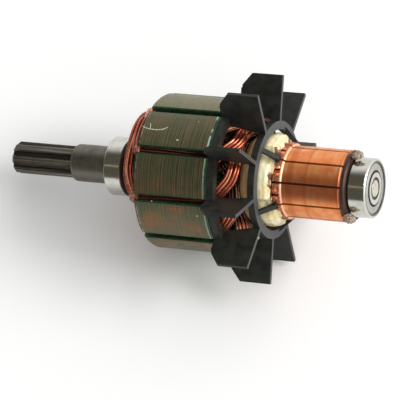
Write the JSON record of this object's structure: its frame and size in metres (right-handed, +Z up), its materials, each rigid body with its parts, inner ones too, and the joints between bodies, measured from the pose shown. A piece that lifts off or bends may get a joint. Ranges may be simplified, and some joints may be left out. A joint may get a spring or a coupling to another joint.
{
  "type": "motor armature",
  "caption": "Wound rotor of a small brushed motor: splined pinion, shielded ball bearings, slotted core with copper coils, black radial fan, cream lead collar and copper commutator.",
  "frame": {"origin": "centre of the box round the part, at its base: the surface it lies on", "axes": "+Z up; +X from the pinion towards the commutator; the rotor's axis lies in the XZ plane and rises by 14.05 degrees towards +X, as the rotor rests on two fan blades and its core"},
  "size_m": [0.1056, 0.0562, 0.0543],
  "materials": {
    "shaft_steel": "turned and ground, satin",
    "pinion_steel": "hardened dark steel, ground, oiled",
    "core_steel": "ground edges of thin laminations with an olive film of varnish",
    "green_coat": "green epoxy powder coat, semi-gloss",
    "sleeve_plastic": "moulded insulating sleeve",
    "copper_wire": "enamelled copper wire, glossy varnish",
    "fan_plastic": "moulded black nylon, fine satin",
    "cream_resin": "glossy cream insulating resin",
    "phenolic": "dark brown moulded phenolic",
    "bar_copper": "bare copper, turned",
    "bearing_steel": "polished bearing steel",
    "ball_steel": "polished",
    "cage_plastic": "moulded nylon",
    "shield_steel": "pressed sheet, satin",
    "snap_wire": "drawn spring wire"
  },
  "bodies": {
    "rotor": {"shaft": "shaft_steel", "pinion": "pinion_steel", "core": "core_steel", "core_insulation": "green_coat", "front_sleeve": "sleeve_plastic", "rear_sleeve": "sleeve_plastic", "coil_01": "copper_wire", "coil_02": "copper_wire", "coil_03": "copper_wire", "coil_04": "copper_wire", "coil_05": "copper_wire", "coil_06": "copper_wire", "coil_07": "copper_wire", "coil_08": "copper_wire", "coil_09": "copper_wire", "coil_10": "copper_wire", "fan": "fan_plastic", "lead_collar": "cream_resin", "commutator_hub": "phenolic", "commutator_bar_01": "bar_copper", "commutator_bar_02": "bar_copper", "commutator_bar_03": "bar_copper", "commutator_bar_04": "bar_copper", "commutator_bar_05": "bar_copper", "commutator_bar_06": "bar_copper", "commutator_bar_07": "bar_copper", "commutator_bar_08": "bar_copper", "commutator_bar_09": "bar_copper", "commutator_bar_10": "bar_copper", "front_bearing_inner_ring": "bearing_steel", "rear_bearing_inner_ring": "bearing_steel"},
    "front_bearing_outer": {"front_bearing_outer_ring": "bearing_steel", "front_bearing_inboard_shield": "shield_steel", "front_bearing_outboard_shield": "shield_steel", "front_bearing_inboard_snap_ring": "snap_wire", "front_bearing_outboard_snap_ring": "snap_wire"},
    "front_bearing_ball_set": {"front_bearing_cage": "cage_plastic", "front_bearing_ball_1": "ball_steel", "front_bearing_ball_2": "ball_steel", "front_bearing_ball_3": "ball_steel", "front_bearing_ball_4": "ball_steel", "front_bearing_ball_5": "ball_steel", "front_bearing_ball_6": "ball_steel", "front_bearing_ball_7": "ball_steel"},
    "rear_bearing_outer": {"rear_bearing_outer_ring": "bearing_steel", "rear_bearing_inboard_shield": "shield_steel", "rear_bearing_outboard_shield": "shield_steel", "rear_bearing_inboard_snap_ring": "snap_wire", "rear_bearing_outboard_snap_ring": "snap_wire"},
    "rear_bearing_ball_set": {"rear_bearing_cage": "cage_plastic", "rear_bearing_ball_1": "ball_steel", "rear_bearing_ball_2": "ball_steel", "rear_bearing_ball_3": "ball_steel", "rear_bearing_ball_4": "ball_steel", "rear_bearing_ball_5": "ball_steel", "rear_bearing_ball_6": "ball_steel", "rear_bearing_ball_7": "ball_steel"}
  },
  "joints": [
    {"name": "front_ring_spin", "type": "hinge", "parent": "rotor", "child": "front_bearing_outer", "pos_m": [-0.0205, 0, 0.01719], "axis": [0.9701, 0, 0.2427], "continuous": true},
    {"name": "front_ball_spin", "type": "hinge", "parent": "rotor", "child": "front_bearing_ball_set", "pos_m": [-0.0205, 0, 0.01719], "axis": [0.9701, 0, 0.2427], "continuous": true},
    {"name": "rear_ring_spin", "type": "hinge", "parent": "rotor", "child": "rear_bearing_outer", "pos_m": [0.04847, 0, 0.03445], "axis": [0.9701, 0, 0.2427], "continuous": true},
    {"name": "rear_ball_spin", "type": "hinge", "parent": "rotor", "child": "rear_bearing_ball_set", "pos_m": [0.04847, 0, 0.03445], "axis": [0.9701, 0, 0.2427], "continuous": true}
  ],
  "couplings": [
    {"joint": "front_ball_spin", "follows": "front_ring_spin", "ratio": 0.63636},
    {"joint": "rear_ball_spin", "follows": "rear_ring_spin", "ratio": 0.63636}
  ]
}
